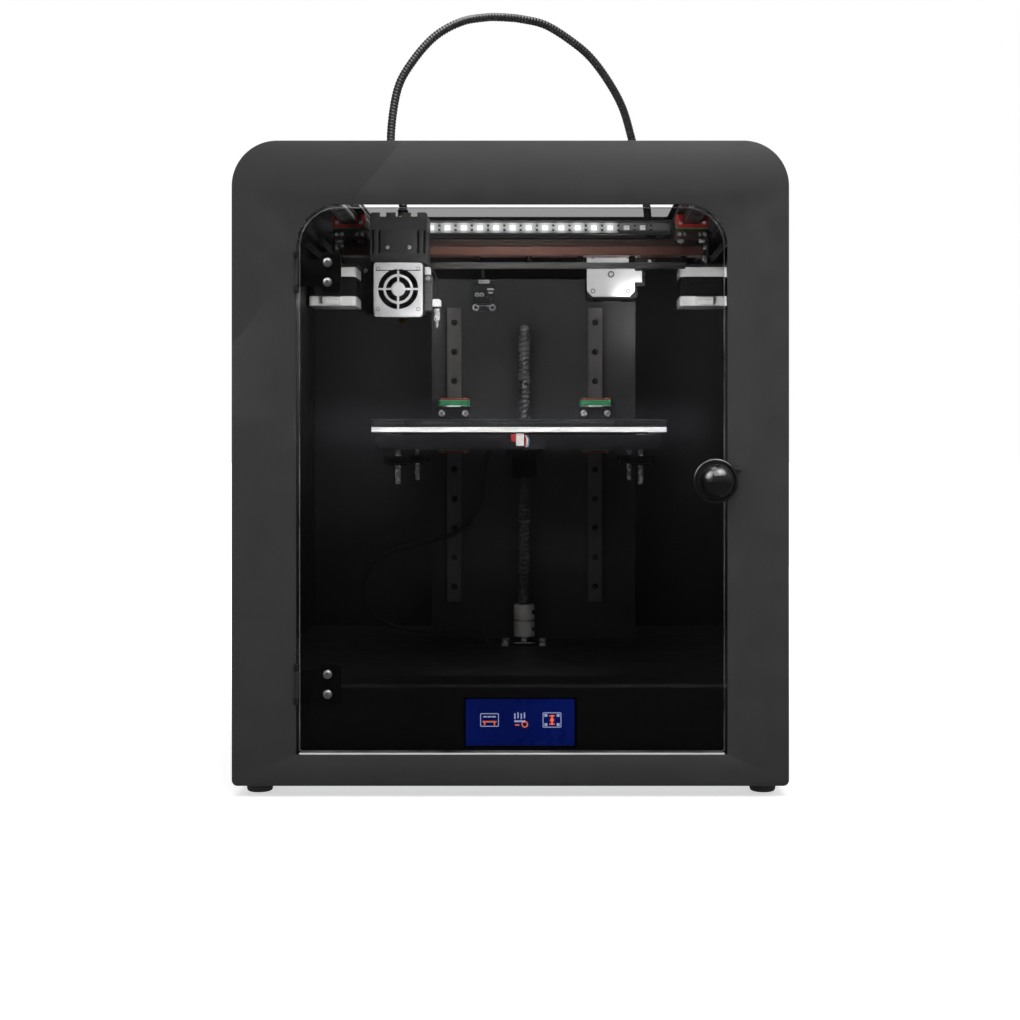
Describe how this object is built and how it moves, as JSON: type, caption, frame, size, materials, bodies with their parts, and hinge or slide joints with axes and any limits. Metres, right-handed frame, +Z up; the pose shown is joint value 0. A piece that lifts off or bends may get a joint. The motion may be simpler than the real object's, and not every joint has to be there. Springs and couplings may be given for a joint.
{
  "type": "enclosed fdm printer",
  "caption": "Enclosed desktop filament printer: folded steel case with a tinted hinged door, belt-driven gantry and head, screw-lifted heated bed, touch display, arched tube.",
  "frame": {"origin": "centre of the whole object's box, at the height of the surface the feet stand on", "axes": "+X to the right seen from the front, +Y from the door to the rear panel, +Z up"},
  "size_m": [0.38, 0.422, 0.5911],
  "materials": {
    "dark_paint": "fine matt texture",
    "black_plastic": "satin",
    "black_steel": "satin black",
    "rubber": "matt",
    "smoked": "tinted acrylic, polished",
    "gloss_black": "gloss",
    "aluminium": "brushed",
    "steel": "ground",
    "copper_brown": "anodised",
    "circuit_black": "solder mask",
    "circuit_green": "solder mask",
    "brass": "machined",
    "light_white": "diffuser"
  },
  "bodies": {
    "root": {"case_shell": "dark_paint", "front_frame": "dark_paint", "rear_panel": "dark_paint", "base_pan": "dark_paint", "foot_front_left": "rubber", "foot_front_right": "rubber", "foot_rear_left": "rubber", "foot_rear_right": "rubber", "electronics_cover": "dark_paint", "display_module": "gloss_black", "control_board": "circuit_green", "power_supply": "aluminium", "power_inlet": "black_plastic", "z_tower_plate": "dark_paint", "z_rail_left": "steel", "z_rail_right": "steel", "z_motor": "black_steel", "xy_motor_left": "black_steel", "xy_motor_right": "black_steel", "upper_frame": "dark_paint", "y_rail_left": "steel", "y_rail_right": "steel", "y_belt_left": "rubber", "y_belt_right": "rubber", "limit_switch_board": "circuit_black", "extruder_motor": "black_steel", "extruder_plate": "aluminium", "extruder_tube": "black_plastic", "bed_lead": "rubber"},
    "door": {"door_panel": "smoked", "door_knob": "gloss_black", "door_hinge_lower": "black_steel", "door_hinge_upper": "black_steel"},
    "rocker": {"power_rocker": "black_plastic"},
    "bed": {"z_carriage_left": "steel", "z_carriage_right": "steel", "bed_frame": "dark_paint", "heater_plate": "aluminium", "build_plate": "black_plastic"},
    "screw": {"ball_screw": "steel"},
    "gantry": {"x_beam": "copper_brown", "y_carriage_left": "steel", "y_carriage_right": "steel", "light_bar": "light_white"},
    "head": {"head_housing": "black_plastic", "fan_cover": "aluminium", "hot_end": "aluminium", "head_tube": "black_plastic"},
    "fan": {"fan_rotor": "black_plastic"},
    "gear": {"drive_gear": "brass"},
    "lever": {"extruder_lever": "black_plastic"},
    "limit_lever": {"limit_switch_lever": "steel"},
    "wheel_front_left": {"level_wheel_front_left": "aluminium"},
    "wheel_front_right": {"level_wheel_front_right": "aluminium"},
    "wheel_rear_left": {"level_wheel_rear_left": "aluminium"},
    "wheel_rear_right": {"level_wheel_rear_right": "aluminium"},
    "pulley_left": {"motor_pulley_left": "aluminium"},
    "idler_left": {"front_idler_left": "aluminium"},
    "pulley_right": {"motor_pulley_right": "aluminium"},
    "idler_right": {"front_idler_right": "aluminium"}
  },
  "joints": [
    {"name": "door_hinge", "type": "hinge", "parent": "root", "child": "door", "pos_m": [-0.145, -0.1885, 0.0773], "axis": [0, 0, -1], "range_deg": [0, 110]},
    {"name": "gantry_slide", "type": "slide", "parent": "root", "child": "gantry", "axis": [0, 1, 0], "range_m": [-0.135, 0.045], "deforming": ["extruder_tube", "head_tube"]},
    {"name": "head_slide", "type": "slide", "parent": "gantry", "child": "head", "axis": [1, 0, 0], "range_m": [0, 0.185]},
    {"name": "fan_spin", "type": "hinge", "parent": "head", "child": "fan", "pos_m": [-0.0902, -0.029, 0.361], "axis": [0, 1, 0], "continuous": true},
    {"name": "bed_lift", "type": "slide", "parent": "root", "child": "bed", "axis": [0, 0, 1], "range_m": [-0.1, 0.074], "deforming": ["bed_lead"]},
    {"name": "screw_spin", "type": "hinge", "parent": "root", "child": "screw", "pos_m": [0.0055, 0.063, 0.0824], "axis": [0, 0, 1], "range_deg": [-6665, 9005]},
    {"name": "power_rocker_tilt", "type": "hinge", "parent": "root", "child": "rocker", "pos_m": [0.12, 0.2065, 0.053], "axis": [1, 0, 0], "range_deg": [0, 14]},
    {"name": "drive_gear_spin", "type": "hinge", "parent": "root", "child": "gear", "pos_m": [0.0798, 0.069, 0.386], "axis": [0, 1, 0], "continuous": true},
    {"name": "extruder_lever_press", "type": "hinge", "parent": "root", "child": "lever", "pos_m": [0.0653, 0.07, 0.3725], "axis": [0, -1, 0], "range_deg": [0, 8], "stiffness_Nm_per_rad": 0.3, "springref_deg": -17.19},
    {"name": "limit_lever_press", "type": "hinge", "parent": "root", "child": "limit_lever", "pos_m": [-0.0352, 0.095, 0.3596], "axis": [0, -1, 0], "range_deg": [0, 4], "stiffness_Nm_per_rad": 0.002, "springref_deg": -17.19},
    {"name": "level_wheel_front_left_turn", "type": "hinge", "parent": "bed", "child": "wheel_front_left", "pos_m": [-0.0795, -0.155, 0.2265], "axis": [0, 0, 1], "range_deg": [-360, 360]},
    {"name": "level_wheel_front_right_turn", "type": "hinge", "parent": "bed", "child": "wheel_front_right", "pos_m": [0.0905, -0.155, 0.2265], "axis": [0, 0, 1], "range_deg": [-360, 360]},
    {"name": "level_wheel_rear_left_turn", "type": "hinge", "parent": "bed", "child": "wheel_rear_left", "pos_m": [-0.0795, 0.015, 0.2265], "axis": [0, 0, 1], "range_deg": [-360, 360]},
    {"name": "level_wheel_rear_right_turn", "type": "hinge", "parent": "bed", "child": "wheel_rear_right", "pos_m": [0.0905, 0.015, 0.2265], "axis": [0, 0, 1], "range_deg": [-360, 360]},
    {"name": "motor_pulley_left_spin", "type": "hinge", "parent": "root", "child": "pulley_left", "pos_m": [-0.1653, 0.1695, 0.4034], "axis": [0, 0, 1], "range_deg": [-1215, 410]},
    {"name": "front_idler_left_spin", "type": "hinge", "parent": "root", "child": "idler_left", "pos_m": [-0.1653, -0.153, 0.4034], "axis": [0, 0, 1], "range_deg": [-1215, 410]},
    {"name": "motor_pulley_right_spin", "type": "hinge", "parent": "root", "child": "pulley_right", "pos_m": [0.163, 0.1695, 0.4034], "axis": [0, 0, 1], "range_deg": [-410, 1215]},
    {"name": "front_idler_right_spin", "type": "hinge", "parent": "root", "child": "idler_right", "pos_m": [0.163, -0.153, 0.4034], "axis": [0, 0, 1], "range_deg": [-410, 1215]}
  ],
  "couplings": [
    {"joint": "screw_spin", "follows": "bed_lift", "rad_per_m": -1570.8},
    {"joint": "motor_pulley_left_spin", "follows": "gantry_slide", "rad_per_m": 156.25},
    {"joint": "front_idler_left_spin", "follows": "gantry_slide", "rad_per_m": 156.25},
    {"joint": "motor_pulley_right_spin", "follows": "gantry_slide", "rad_per_m": -156.25},
    {"joint": "front_idler_right_spin", "follows": "gantry_slide", "rad_per_m": -156.25}
  ]
}
